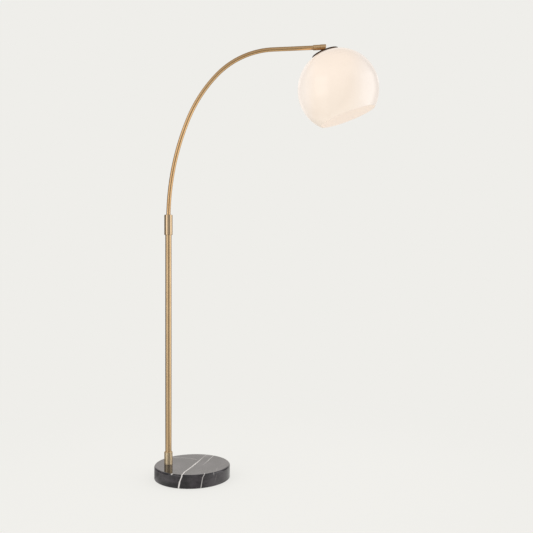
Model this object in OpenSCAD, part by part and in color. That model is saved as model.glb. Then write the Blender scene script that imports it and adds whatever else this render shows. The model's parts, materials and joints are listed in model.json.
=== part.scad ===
// Arc floor lamp: an opal glass globe hangs from a curved brass arm, which slides and turns in a
// straight brass pole on a round stone base. Millimetres, +Z up, the globe towards +X.
// Origin: the centre of the base's underside, on the floor.

/* [Base] */
// Diameter of the stone base
base_d = 280; // [240:5:340]
// Thickness of the stone
stone_t = 48; // [40:0.5:60]
// Rounding of the stone's top edge
edge_r = 6; // [2:0.5:8]
// Chamfer round the stone's underside
foot_chamfer = 1.5; // [0.5:0.5:3]
// Thickness of the felt under the stone
pad_t = 1.5; // [1:0.5:3]
// How far the felt stays inside the stone's edge
pad_inset = 5; // [2:1:15]
// Distance from the stone's rim to the pole's axis
pole_edge = 51; // [46:1:80]

/* [Underside fixing] */
// Diameter of the well under the pole
well_d = 52; // [46:1:56]
// Outside diameter of the threaded stem tube
stem_d = 10; // [9:0.5:12]
// Bore of the threaded stem tube
stem_bore = 7; // [5.5:0.5:7.5]
// Clearance round the stem in the stone
stem_gap = 0.5; // [0.2:0.1:1]
// Diameter of the clamp washer
washer_d = 40; // [30:1:44]
// Thickness of the clamp washer
washer_t = 3; // [2:0.5:5]
// Width of the clamp nut across its flats
nut_af = 17; // [15:1:22]
// Thickness of the clamp nut
nut_t = 6; // [4:0.5:8]
// Stem thread that shows below the clamp nut
stem_proud = 1.5; // [1:0.5:3]

/* [Cord inlet] */
// Height of the inlet's axis above the floor
inlet_z = 12; // [10:0.5:13]
// Bore of the cord gland
gland_bore = 6; // [5:0.5:7.5]
// Diameter of the gland's body
gland_d = 11; // [10:0.5:12]
// Diameter of the gland's flange
gland_flange_d = 14.6; // [13:0.1:15]
// Thickness of the gland's flange
gland_flange_t = 2.2; // [1.5:0.1:3]
// Length of the gland from its outer face
gland_l = 20; // [15:1:22]
// Depth of the gland's face inside the rim
gland_recess = 0.5; // [0.5:0.1:1]

/* [Wiring] */
// Diameter of the lamp wire
wire_d = 4.4; // [3.5:0.1:4.8]
// Clearance round the wire in its holes
wire_gap = 0.3; // [0.1:0.05:0.5]
// Bend radius of the wire under the stem
wire_bend = 9.5; // [8:0.5:10]
// Turns in the wire's slack coil
coil_turns = 14; // [8:1:24]
// Pitch of the slack coil
coil_pitch = 5.2; // [4.9:0.1:7]
// Outside diameter of the slack coil
coil_d = 16; // [14:0.5:17]

/* [Pole] */
// Outside diameter of the pole
pole_d = 23; // [21:0.5:26]
// Wall of the pole tube
pole_wall = 1.5; // [1:0.1:2]
// Outside diameter of the foot socket
socket_d = 30.5; // [29:0.5:36]
// Height of the foot socket above the stone
socket_h = 46; // [35:1:60]
// Thickness of the foot socket's floor
socket_floor = 6; // [4:0.5:10]
// Chamfer of the socket's and the collar's edges
edge_chamfer = 1; // [0.4:0.1:1.5]
// Diameter of the grub screws
grub_d = 5; // [4:0.5:6]
// Height of the foot's grub screw above the stone
grub_h = 20; // [14:1:28]

/* [Collar] */
// Height of the collar's lower end above the floor
collar_z = 902; // [850:1:950]
// Length of the collar
collar_h = 75; // [70:1:90]
// Outside diameter of the collar
collar_d = 30.5; // [29:0.5:36]
// Length of the pole inside the collar
pole_in_collar = 45; // [40:1:48]
// Clearance of running fits, on the radius
run_gap = 0.05; // [0.03:0.01:0.08]
// Clearance between pieces that pass each other
free_gap = 0.3; // [0.2:0.05:0.5]
// Gap that is left between curved faces that seat on each other
seat_gap = 0.05; // [0.02:0.01:0.1]
// Length of the collet's spigot in the pole
collet_spigot = 30; // [20:1:40]
// Thickness of the collet's flange
collet_flange = 3; // [2:0.5:4]
// Height of the collet's fingers
collet_fingers = 11; // [8:1:14]
// Wall of the collet's fingers at their tips
collet_wall = 1.4; // [1.2:0.1:1.8]
// How much the fingers thicken towards the flange
collet_taper = 1; // [0.5:0.1:1.2]
// Width of the slits between the fingers
collet_slit = 1; // [0.6:0.1:1.5]
// Number of slits in the collet
collet_slits = 6; // [3:1:8]

/* [Arm] */
// Outside diameter of the arm tube
arm_d = 15.6; // [14.5:0.1:16]
// Wall of the arm tube
arm_wall = 1.2; // [1:0.1:1.5]
// How far the arm can be raised
arm_travel = 200; // [100:10:260]
// Radius of the arm's first bend
bend_r1 = 980; // [800:10:1200]
// Angle of the arm's first bend
bend_a1 = 22.5; // [18:0.5:26]
// Radius of the arm's second bend
bend_r2 = 525; // [450:5:600]
// Angle of the arm's second bend
bend_a2 = 21; // [17:0.5:25]
// Radius of the arm's last bend
bend_r3 = 310; // [280:5:340]
// Slope of the arm's straight end
tip_slope = 2.5; // [0:0.5:5]
// Length of the arm's straight end outside its sleeve
tip_straight = 149; // [100:1:200]

/* [Arm foot] */
// Length of the guide bush
bush_h = 60; // [40:1:80]
// Clearance at the ends of the bush
bush_end_gap = 0.15; // [0.1:0.05:0.4]
// Thickness of the retaining clip
clip_t = 1.2; // [0.8:0.1:2]
// Opening of the retaining clip
clip_mouth = 10; // [6:1:12]
// Thickness of the foot plug's flange
plug_flange = 3; // [2:0.5:5]
// Length of the foot plug inside the arm tube
plug_in = 12; // [8:1:20]
// Arm turn to each side of its rest
swivel = 45; // [30:5:60]
// Half width of the stop lug, in degrees
lug_half = 8; // [5:1:12]
// Height of the stop lug
lug_h = 4; // [3:0.5:6]

/* [Tilt joint] */
// Outside diameter of the tip sleeve
sleeve_d = 19.5; // [18.5:0.1:21]
// Length of the tip sleeve
sleeve_l = 26; // [24:1:32]
// Length of the arm tube inside the sleeve
arm_in_sleeve = 20; // [16:1:21]
// Outside diameter of the knuckle fork
fork_d = 21; // [20:0.1:21]
// Distance from the sleeve's end to the tilt axis
fork_back = 11; // [10.5:0.5:14]
// Diameter of the fork's spigot
spigot_d = 12; // [10:0.5:13]
// Length of the fork's spigot
spigot_l = 5; // [3:0.5:5.5]
// Thickness of the stem's tongue
tongue_t = 8; // [7.5:0.1:8.5]
// Radius of the stem's tongue
tongue_r = 8.5; // [7:0.1:8.8]
// Thickness of the friction washers
friction_t = 0.5; // [0.3:0.1:0.8]
// Diameter of the tilt screw
pin_d = 5; // [4:0.1:5]
// Diameter of the tilt screw's head
pin_head_d = 9; // [7.5:0.5:10]
// Thickness of the tilt screw's head
pin_head_t = 2.4; // [2:0.1:2.6]
// How far the tilt screw's head is sunk into its ear
pin_head_sunk = 1; // [0.5:0.1:1.2]
// Length of the tilt screw's thread in the front ear
pin_in = 3.4; // [2.5:0.1:4]
// Diameter of the sleeve's grub screw
tip_grub_d = 3; // [2.5:0.5:4]

/* [Globe] */
// Outside diameter of the glass globe
globe_d = 302; // [260:1:320]
// Thickness of the glass
glass_t = 2.5; // [2:0.1:4]
// Diameter of the globe's open mouth
mouth_d = 212; // [190:2:236]
// Tilt of the globe from the vertical, at rest
globe_tilt = 19.5; // [0:0.5:30]
// Distance from the tilt axis to the top of the glass
glass_drop = 17.5; // [15.5:0.1:18]
// Diameter of the hole in the top of the glass
glass_hole = 15; // [13:0.5:17]

/* [Cap] */
// Diameter of the cap over the globe
cap_d = 102; // [80:1:120]
// Thickness of the cap's metal
cap_t = 2; // [1.5:0.1:2.5]
// Thickness of the gaskets on the glass
gasket_t = 1.5; // [1:0.1:2]
// Diameter of the hub inside the cap
hub_d = 20; // [18:0.5:24]
// Diameter of the stem's boss in the cap
boss_d = 14; // [12:0.5:15]
// How far the tongue's sides stay inside the boss
tongue_inset = 1; // [0.5:0.1:1.5]
// Gap between the boss's top and the fork's nose
boss_gap = 0.5; // [0.3:0.1:0.8]
// How far the gasket stays inside the cap's edge
gasket_inset = 3; // [2:1:8]
// Diameter of the clamp disc inside the globe
disc_d = 50; // [40:1:60]
// Thickness of the clamp disc
disc_t = 1.5; // [1:0.1:2.5]
// Thickness of the nut under the clamp disc
shade_nut_t = 5; // [4:0.5:7]

/* [Lampholder and bulb] */
// Outside diameter of the lampholder
holder_d = 38; // [36:0.5:44]
// Length of the lampholder
holder_l = 50; // [46:1:60]
// Height of the lampholder's sloping shoulder
holder_dome = 6; // [3:0.5:6]
// Wall of the lampholder
holder_wall = 1.6; // [1.2:0.1:2.5]
// Length of the stem's thread in the lampholder
stem_in_holder = 8; // [6:0.5:10]
// Thickness of the ceramic core
core_t = 12; // [10:1:14]
// Diameter of the bulb's screw cap
screw_d = 26; // [24:0.5:27]
// Length of the bulb's screw cap
screw_l = 24; // [22:1:25]
// Thickness of the screw shells
shell_t = 0.5; // [0.3:0.1:0.8]
// Diameter of the bulb
bulb_d = 60; // [45:1:80]
// Length of the bulb's glass
bulb_l = 82; // [70:1:110]
// Thickness of the bulb's glass
bulb_wall = 1; // [0.6:0.1:1.5]
// Length of the bulb's neck in its screw cap
neck_in = 6; // [3:1:12]

/* [Hidden] */
$fn = 96;
cut = 1; // how far a cutting shape runs past the face it cuts

// Colours
BRASS = [0.80, 0.64, 0.42];
BRONZE = [0.30, 0.22, 0.16];
STEEL = [0.66, 0.67, 0.68];
STONE = [0.10, 0.095, 0.095];
FELT = [0.08, 0.08, 0.08];
NYLON = [0.90, 0.88, 0.82];
BLACK = [0.06, 0.06, 0.06];
OPAL = [0.98, 0.95, 0.90];
CERAMIC = [0.93, 0.91, 0.86];
SILICONE = [0.80, 0.79, 0.76];

// Base
base_r = base_d / 2;
stone_top = pad_t + stone_t;
pole_x = pole_edge - base_r;
stem_z = inlet_z + wire_bend;
nut_z = stem_z + stem_proud;
washer_z = nut_z + nut_t;
well_top = washer_z + washer_t;
wire_hole_r = wire_d / 2 + wire_gap;

// Pole and collar
pole_r = pole_d / 2;
pole_ri = pole_r - pole_wall;
pole_z = stone_top + socket_floor;
pole_top = collar_z + pole_in_collar;
collar_top = collar_z + collar_h;
collet_z = pole_top - collet_spigot;
fingers_z = pole_top + collet_flange;
fingers_top = fingers_z + collet_fingers;

// Arm foot, from the top stop downwards
arm_r = arm_d / 2;
arm_ri = arm_r - arm_wall;
collet_ri = arm_r + run_gap;
bush_ro = pole_ri - run_gap;
clip_z = collet_z - arm_travel - free_gap - clip_t;
bush_top = clip_z - bush_end_gap;
bush_z = bush_top - bush_h;
arm_foot_z = bush_z - bush_end_gap;
plug_z = arm_foot_z - plug_flange;
coil_top = plug_z - free_gap;
coil_z = coil_top - coil_turns * coil_pitch;
flange_ro = bush_ro - free_gap;
lug_gap = 1.5; // degrees left between the lug and its stop

// Arm route: a heading is the angle above +X, and each bend turns it down
function bend_end(p, heading, r, a) =
    [p.x + r * (sin(heading) - sin(heading - a)), p.y - r * (cos(heading) - cos(heading - a))];
bend_z = fingers_top;
seam = 0.05; // how much thicker the first and last bends are, on the radius
lap = 1; // how far the lengths between them run on
heading1 = 90;
heading2 = heading1 - bend_a1;
heading3 = heading2 - bend_a2;
bend_a3 = heading3 - tip_slope;
p1 = [pole_x, bend_z];
p2 = bend_end(p1, heading1, bend_r1, bend_a1);
p3 = bend_end(p2, heading2, bend_r2, bend_a2);
p4 = bend_end(p3, heading3, bend_r3, bend_a3);
tip = p4 + tip_straight * [cos(tip_slope), sin(tip_slope)];

// Tilt joint, measured along the arm's end from the sleeve's mouth
fork_r = fork_d / 2;
tilt_u = sleeve_l + fork_back;
slot_half = tongue_t / 2 + friction_t + run_gap;
slot_back = tilt_u - tongue_r - free_gap;
slot_top = tongue_r + free_gap;
spigot_r = spigot_d / 2;
pin_r = pin_d / 2;
pin_head_y = fork_r - pin_head_t - pin_head_sunk;
pin_head_gap = 0.1;
pivot = tip + tilt_u * [cos(tip_slope), sin(tip_slope)];

// Globe and cap, measured down from the tilt axis
globe_r = globe_d / 2;
globe_drop = glass_drop + globe_r;
glass_ri = globe_r - glass_t;
cap_ri = globe_r + gasket_t + 2 * seat_gap;
cap_ro = cap_ri + cap_t;
hub_end = glass_drop - 0.2;
boss_top = fork_r + boss_gap;
gasket_ri = hub_d / 2 + free_gap;
disc_ro = glass_ri - gasket_t - 2 * seat_gap;
disc_drop = globe_drop - disc_ro;
nut_r = nut_af / sqrt(3);
// The nut's corners seat on the disc's hollow underside
nut_drop = globe_drop - sqrt((disc_ro - disc_t) ^ 2 - nut_r ^ 2);
holder_drop = nut_drop + shade_nut_t + free_gap;
stem_end = holder_drop + stem_in_holder;
shank_r = stem_d / 2;
window_drop = pin_r + run_gap + 1 + wire_hole_r;

// Lampholder and bulb
holder_r = holder_d / 2;
holder_end = holder_drop + holder_l;
core_end = stem_end + core_t;
core_r = holder_r - holder_wall;
screw_r = screw_d / 2;
bulb_arcs = 24; // straight steps in the bulb's round end
contact_t = 1.5;
contact_r = 4;
screw_drop = core_end + 2 * contact_t;
screw_end = screw_drop + screw_l;
bulb_r = bulb_d / 2;
bulb_drop = screw_end + bulb_l - bulb_r;
neck_r = screw_r - shell_t;

// A cylinder with chamfered ends, standing on z = 0
module turned(r, h, c) {
    rotate_extrude()
        polygon([[0, 0], [r - c, 0], [r, c], [r, h - c], [r - c, h], [0, h]]);
}

// A ring standing on z = 0
module ring(ro, ri, h) {
    difference() {
        cylinder(r = ro, h = h);
        translate([0, 0, -cut]) cylinder(r = ri, h = h + 2 * cut);
    }
}

// A socket head grub screw, its tip on z = 0
module grub(d, l) {
    difference() {
        cylinder(d = d, h = l);
        translate([0, 0, l / 2]) cylinder(d = d * 0.55, h = l, $fn = 6);
    }
}

// A round bar, or a tube where ri is above zero, in outline
module round_section(ro, ri) {
    difference() {
        circle(r = ro);
        if (ri > 0) circle(r = ri);
    }
}

// One bend of the arm, carried on past both its ends by a length
module bend(p, heading, r, a, past, ro, ri) {
    more = past / r * 180 / PI;
    translate([p.x + r * sin(heading), 0, p.y - r * cos(heading)])
        rotate([90, 0, 0])
            rotate([0, 0, heading - a + 90 - more])
                rotate_extrude(angle = a + 2 * more)
                    translate([r, 0]) round_section(ro, ri);
}

// The arm's whole route from height z to u past the sleeve's mouth. The first and last bends are
// a hair thicker, and the lengths between them run on a little way inside their walls.
module arm_route(z, u, ro, ri) {
    thick_ri = ri > 0 ? ri - seam : 0;
    translate([pole_x, 0, z]) linear_extrude(bend_z + lap - z) round_section(ro, ri);
    bend(p1, heading1, bend_r1, bend_a1, 0, ro + seam, thick_ri);
    bend(p2, heading2, bend_r2, bend_a2, lap, ro, ri);
    bend(p3, heading3, bend_r3, bend_a3, 0, ro + seam, thick_ri);
    translate([p4.x, 0, p4.y])
        rotate([0, 90 - tip_slope, 0])
            translate([0, 0, -lap]) linear_extrude(tip_straight + u + lap) round_section(ro, ri);
}

module at_pole(z) {
    translate([pole_x, 0, z]) children();
}

// The arm's end: X runs along the arm from the sleeve's mouth
module at_tip(u = 0) {
    translate([tip.x, 0, tip.y]) rotate([0, -tip_slope, 0]) translate([u, 0, 0]) children();
}

// The globe's axis: it hangs down -Z from the tilt axis
module at_head(drop = 0) {
    translate([pivot.x, 0, pivot.y]) rotate([0, -globe_tilt, 0]) translate([0, 0, -drop]) children();
}

// Part of a spherical shell round the globe's centre, between two distances from the axis
module dome(ro, ri, outer, inner) {
    at_head(globe_drop)
        rotate_extrude()
            intersection() {
                difference() {
                    circle(r = ro);
                    circle(r = ri);
                }
                translate([inner, 0]) square([outer - inner, ro + cut]);
            }
}

// ---- stand ----

module floor_pad() {
    color(FELT) cylinder(r = base_r - pad_inset, h = pad_t);
}

module base_stone() {
    color(STONE)
        difference() {
            translate([0, 0, pad_t]) rotate_extrude() {
                polygon([[0, 0], [base_r - foot_chamfer, 0], [base_r, foot_chamfer],
                         [base_r, stone_t - edge_r], [0, stone_t - edge_r]]);
                square([base_r - edge_r, stone_t]);
                translate([base_r - edge_r, stone_t - edge_r]) circle(r = edge_r);
            }
            at_pole(pad_t - cut) cylinder(d = well_d, h = well_top - pad_t + cut);
            at_pole(0) cylinder(r = stem_d / 2 + stem_gap, h = stone_top + cut);
            inlet_bores();
        }
}

// The radial way from the rim to the well
module inlet_bores() {
    at_inlet(-cut) cylinder(d = gland_flange_d, h = gland_flange_t + gland_recess + cut);
    at_inlet(0) cylinder(d = gland_d, h = gland_recess + gland_l);
    at_inlet(0) cylinder(r = wire_hole_r, h = pole_edge);
}

// The inlet's axis: Z runs inwards from the rim
module at_inlet(depth) {
    translate([depth - base_r, 0, inlet_z]) rotate([0, 90, 0]) children();
}

module cord_gland() {
    color(BLACK)
        at_inlet(gland_recess)
            difference() {
                union() {
                    cylinder(d = gland_flange_d, h = gland_flange_t);
                    cylinder(d = gland_d, h = gland_l);
                }
                translate([0, 0, -cut]) cylinder(d = gland_bore, h = gland_l + 2 * cut);
            }
}

module clamp_washer() {
    color(STEEL) at_pole(washer_z) ring(washer_d / 2, stem_d / 2 + stem_gap, washer_t);
}

module clamp_nut() {
    color(STEEL)
        at_pole(nut_z)
            difference() {
                cylinder(r = nut_r, h = nut_t, $fn = 6);
                translate([0, 0, -cut]) cylinder(d = stem_d, h = nut_t + 2 * cut);
            }
}

module stem_tube() {
    color(STEEL) at_pole(stem_z) ring(stem_d / 2, stem_bore / 2, pole_z + socket_floor - stem_z);
}

module foot_socket() {
    color(BRASS)
        difference() {
            at_pole(stone_top) turned(socket_d / 2, socket_h, edge_chamfer);
            at_pole(pole_z) cylinder(r = pole_r, h = socket_h);
            at_pole(stone_top - cut) cylinder(d = stem_d, h = socket_floor + 2 * cut);
            foot_grub_place() translate([0, 0, -grub_d]) cylinder(d = grub_d, h = socket_d);
        }
}

// The grub screw's axis: Z runs outwards from the pole, at the back
module foot_grub_place() {
    at_pole(stone_top + grub_h) rotate([-90, 0, 0]) translate([0, 0, pole_r]) children();
}

module foot_grub_screw() {
    color(STEEL) foot_grub_place() grub(grub_d, socket_d / 2 - pole_r - free_gap);
}

module pole_tube() {
    color(BRASS) at_pole(pole_z) ring(pole_r, pole_ri, pole_top - pole_z);
}

module arm_collet() {
    tip_r = collet_ri + collet_wall;
    color(NYLON)
        difference() {
            at_pole(0) rotate_extrude()
                polygon([[collet_ri, collet_z], [pole_ri, collet_z], [pole_ri, pole_top],
                         [pole_r, pole_top], [pole_r, fingers_z],
                         [tip_r + collet_taper, fingers_z], [tip_r, fingers_top],
                         [collet_ri, fingers_top]]);
            for (i = [0:collet_slits - 1])
                at_pole(fingers_z)
                    rotate([0, 0, 360 * (i + 0.5) / collet_slits])
                        translate([0, -collet_slit / 2, 0])
                            cube([pole_r, collet_slit, collet_fingers + cut]);
        }
}

// From the gland along the inlet, up through the stem and up the pole to the slack coil
module base_wire() {
    start = gland_recess + gland_l;
    color(BLACK) {
        at_inlet(start) cylinder(d = wire_d, h = pole_edge - start - wire_bend);
        translate([pole_x - wire_bend, 0, stem_z])
            rotate([90, 0, 0]) rotate([0, 0, -90])
                rotate_extrude(angle = 90) translate([wire_bend, 0]) circle(d = wire_d);
        at_pole(stem_z) cylinder(d = wire_d, h = coil_z - stem_z);
    }
}

// The wire's slack, wound so that the arm can rise
module slack_coil() {
    mean_r = (coil_d - wire_d) / 2;
    web = wire_d / 3;
    color(BLACK)
        at_pole(coil_z) rotate_extrude() {
            for (i = [0:coil_turns - 1])
                translate([mean_r, (i + 0.5) * coil_pitch]) circle(d = wire_d);
            translate([mean_r - web / 2, 0]) square([web, coil_turns * coil_pitch]);
            square([mean_r, web]);
            translate([0, coil_turns * coil_pitch - web]) square([mean_r, web]);
        }
}

// ---- lock collar ----

module lock_collar() {
    bore = pole_r + run_gap;
    shoulder = fingers_z + free_gap;
    mouth = fingers_top + free_gap;
    cone = collet_ri + collet_wall + free_gap;
    hole = arm_r + 2 * free_gap;
    color(BRASS)
        difference() {
            at_pole(collar_z) turned(collar_d / 2, collar_h, edge_chamfer);
            at_pole(0) rotate_extrude()
                polygon([[0, collar_z - cut], [bore, collar_z - cut], [bore, shoulder],
                         [cone + collet_taper, shoulder], [cone, mouth], [hole, mouth],
                         [hole, collar_top + cut], [0, collar_top + cut]]);
        }
}

// ---- slider ----

module guide_bush() {
    notch_half = swivel + lug_half + lug_gap;
    color(NYLON)
        at_pole(bush_z)
            difference() {
                ring(bush_ro, arm_r + run_gap, bush_h);
                translate([0, 0, -cut]) sector(2 * bush_ro, notch_half, lug_h + free_gap + cut);
            }
}

// A wedge about +X, of a half angle below 90 degrees
module sector(r, half, h) {
    linear_extrude(h) polygon([[0, 0], [r * cos(half), -r * sin(half)], [r, -r * tan(half / 2)],
                               [r, r * tan(half / 2)], [r * cos(half), r * sin(half)]]);
}

// ---- arm ----

module arm_foot_plug() {
    color(BRASS)
        at_pole(plug_z)
            difference() {
                union() {
                    cylinder(r = flange_ro, h = plug_flange);
                    cylinder(r = arm_ri, h = plug_flange + plug_in);
                    intersection() {
                        ring(flange_ro, arm_r, plug_flange + lug_h);
                        sector(2 * bush_ro, lug_half, plug_flange + lug_h);
                    }
                }
                translate([0, 0, -cut])
                    cylinder(r = wire_hole_r, h = plug_flange + plug_in + 2 * cut);
            }
}

module arm_clip() {
    color(STEEL)
        at_pole(clip_z)
            difference() {
                ring(flange_ro, arm_r, clip_t);
                translate([0, -clip_mouth / 2, -cut]) cube([pole_r, clip_mouth, clip_t + 2 * cut]);
            }
}

module arm_tube() {
    color(BRASS) arm_route(arm_foot_z, arm_in_sleeve, arm_r, arm_ri);
}

module arm_wire() {
    color(BLACK) arm_route(plug_z, slot_back, wire_d / 2, 0);
}

module tip_sleeve() {
    color(BRASS)
        difference() {
            at_tip() rotate([0, 90, 0]) turned(sleeve_d / 2, sleeve_l, edge_chamfer / 2);
            at_tip(-cut) rotate([0, 90, 0]) cylinder(r = arm_r, h = arm_in_sleeve + cut);
            at_tip() rotate([0, 90, 0]) cylinder(r = spigot_r, h = sleeve_l + cut);
            tip_grub_place() translate([0, 0, -tip_grub_d]) cylinder(d = tip_grub_d, h = sleeve_d);
        }
}

// The sleeve's grub screw: Z runs outwards from the arm tube, underneath
module tip_grub_place() {
    at_tip(arm_in_sleeve / 2) rotate([180, 0, 0]) translate([0, 0, arm_r]) children();
}

module tip_grub_screw() {
    color(STEEL) tip_grub_place() grub(tip_grub_d, sleeve_d / 2 - arm_r - free_gap / 2);
}

module knuckle_fork() {
    nose = fork_back + fork_r;
    color(BRASS)
        difference() {
            at_tip(sleeve_l) intersection() {
                rotate([0, 90, 0]) turned(fork_r, nose, edge_chamfer / 2);
                union() {
                    translate([0, -fork_r, -fork_r]) cube([fork_back, fork_d, fork_d]);
                    translate([0, -fork_r, 0]) cube([nose, fork_d, fork_r]);
                    translate([fork_back, 0, 0]) rotate([90, 0, 0])
                        cylinder(r = fork_r, h = fork_d, center = true);
                }
            }
            at_tip(slot_back) translate([0, -slot_half, -2 * fork_r])
                cube([2 * fork_d, 2 * slot_half, 2 * fork_r + slot_top]);
            at_tip(sleeve_l - cut) rotate([0, 90, 0]) cylinder(r = wire_hole_r, h = fork_back);
            at_tip(tilt_u) tilt_screw_shape(pin_head_gap);
        }
    color(BRASS)
        at_tip(sleeve_l - spigot_l) rotate([0, 90, 0]) ring(spigot_r, wire_hole_r, spigot_l);
}

// The tilt screw along Y, its head at the back; a gap above zero leaves its head free in the fork
module tilt_screw_shape(gap) {
    front = -slot_half - pin_in;
    translate([0, front, 0]) rotate([-90, 0, 0]) cylinder(r = pin_r, h = pin_head_y - front + cut);
    translate([0, pin_head_y, 0]) rotate([-90, 0, 0])
        cylinder(r = pin_head_d / 2 + gap, h = gap > 0 ? fork_d : pin_head_t);
}

module tilt_screw() {
    color(STEEL)
        difference() {
            at_tip(tilt_u) tilt_screw_shape(0);
            at_tip(tilt_u) translate([0, pin_head_y + pin_head_t / 2, 0]) rotate([-90, 0, 0])
                cylinder(d = pin_head_d * 0.45, h = pin_head_t, $fn = 6);
        }
}

module friction_washers() {
    color(NYLON)
        for (side = [-1, 1])
            at_tip(tilt_u)
                translate([0, side * (slot_half - friction_t / 2), 0]) rotate([90, 0, 0])
                    translate([0, 0, -friction_t / 2]) ring(tongue_r, pin_r, friction_t);
}

// ---- head ----

module tilt_stem() {
    bore_top = window_drop - wire_hole_r;
    color(BRASS)
        difference() {
            union() {
                at_head() rotate([90, 0, 0]) cylinder(r = tongue_r, h = tongue_t, center = true);
                at_head(boss_top + cut)
                    translate([tongue_inset - boss_d / 2, -tongue_t / 2, 0])
                        cube([boss_d - 2 * tongue_inset, tongue_t, boss_top + cut]);
                at_head(hub_end) cylinder(d = boss_d, h = hub_end - boss_top);
                at_head(stem_end) cylinder(r = shank_r, h = stem_end - boss_top);
            }
            at_head() rotate([90, 0, 0]) cylinder(r = pin_r + run_gap, h = fork_d, center = true);
            at_head(stem_end + cut) cylinder(r = wire_hole_r, h = stem_end + cut - window_drop);
            at_head(window_drop) rotate([0, -90, 0]) cylinder(r = wire_hole_r, h = fork_d);
        }
}

module shade_cap() {
    color(BRONZE)
        difference() {
            union() {
                dome(cap_ro, cap_ri, cap_d / 2, 0);
                at_head(hub_end) cylinder(d = hub_d, h = hub_end - (globe_drop - cap_ro) - 1);
            }
            at_head(hub_end + cut) cylinder(d = boss_d, h = hub_end + cut);
        }
}

module cap_gasket() {
    color(SILICONE) dome(cap_ri - seat_gap, globe_r + seat_gap, cap_d / 2 - gasket_inset, gasket_ri);
}

// The glass, with its mouth's edge melted round
module glass_globe() {
    mid = globe_r - glass_t / 2;
    half = asin(mouth_d / 2 / globe_r);
    color(OPAL)
        at_head(globe_drop)
            rotate_extrude() {
                difference() {
                    circle(r = globe_r);
                    circle(r = glass_ri);
                    translate([-2 * globe_r, -globe_r - cut])
                        square([2 * globe_r + glass_hole / 2, 2 * globe_r + 2 * cut]);
                    polygon([[0, 0], 2 * globe_r * [sin(half), -cos(half)], [0, -4 * globe_r]]);
                }
                translate(mid * [sin(half), -cos(half)]) circle(d = glass_t);
            }
}

module inner_gasket() {
    color(SILICONE) dome(glass_ri - seat_gap, disc_ro + seat_gap, disc_d / 2, glass_hole / 2);
}

module clamp_disc() {
    color(STEEL) dome(disc_ro, disc_ro - disc_t, disc_d / 2, shank_r + free_gap);
}

module shade_nut() {
    color(STEEL)
        at_head(nut_drop + shade_nut_t)
            difference() {
                cylinder(r = nut_r, h = shade_nut_t, $fn = 6);
                translate([0, 0, -cut]) cylinder(r = shank_r, h = shade_nut_t + 2 * cut);
            }
}

module holder_shell() {
    color(BLACK)
        at_head(holder_end)
            difference() {
                rotate_extrude()
                    polygon([[0, 0], [holder_r, 0], [holder_r, holder_l - holder_dome],
                             [holder_r - holder_dome, holder_l], [0, holder_l]]);
                translate([0, 0, -cut])
                    cylinder(r = core_r, h = holder_end - stem_end + cut);
                cylinder(r = shank_r, h = holder_l + cut);
            }
}

module holder_core() {
    color(CERAMIC) at_head(core_end) cylinder(r = core_r, h = core_t);
}

module holder_thread() {
    ri = screw_r + free_gap;
    color(BRASS) at_head(screw_end) ring(ri + shell_t, ri, screw_end - core_end);
}

module holder_contact() {
    color(BRASS) at_head(core_end + contact_t) cylinder(r = contact_r, h = contact_t);
}

module holder_wire() {
    color(BLACK) at_head(stem_end) cylinder(d = wire_d, h = stem_end - window_drop);
}

// Half the bulb's outline, shrunk by t, upwards from its round end: an arc, the cone that leaves
// it tangentially, and the neck
function bulb_outline(t) =
    let (r = bulb_r - t, reach = bulb_l - bulb_r, neck = neck_r - t,
         lean = atan2(reach, neck) - acos(r / norm([neck, reach])))
    concat([for (i = [0:bulb_arcs]) let (a = -90 + (90 + lean) * i / bulb_arcs) r * [cos(a), sin(a)]],
           [[neck, reach], [neck, reach + neck_in]]);
function reversed(points) = [for (i = [len(points) - 1:-1:0]) points[i]];

module bulb_glass() {
    color(OPAL)
        at_head(bulb_drop)
            rotate_extrude() polygon(concat(bulb_outline(0), reversed(bulb_outline(bulb_wall))));
}

module bulb_screw_cap() {
    color(STEEL)
        difference() {
            at_head(screw_end) cylinder(r = screw_r, h = screw_l);
            at_head(screw_end + cut) cylinder(r = neck_r, h = screw_l - shell_t + cut);
        }
}

module bulb_contact() {
    color(STEEL) at_head(screw_drop) cylinder(r = contact_r, h = contact_t);
}

floor_pad();
base_stone();
cord_gland();
clamp_washer();
clamp_nut();
stem_tube();
foot_socket();
foot_grub_screw();
pole_tube();
arm_collet();
base_wire();
slack_coil();
lock_collar();
guide_bush();
arm_foot_plug();
arm_clip();
arm_tube();
arm_wire();
tip_sleeve();
tip_grub_screw();
knuckle_fork();
friction_washers();
tilt_screw();
tilt_stem();
shade_cap();
cap_gasket();
glass_globe();
inner_gasket();
clamp_disc();
shade_nut();
holder_shell();
holder_core();
holder_thread();
holder_contact();
holder_wire();
bulb_glass();
bulb_screw_cap();
bulb_contact();
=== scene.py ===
import json
import math

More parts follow.
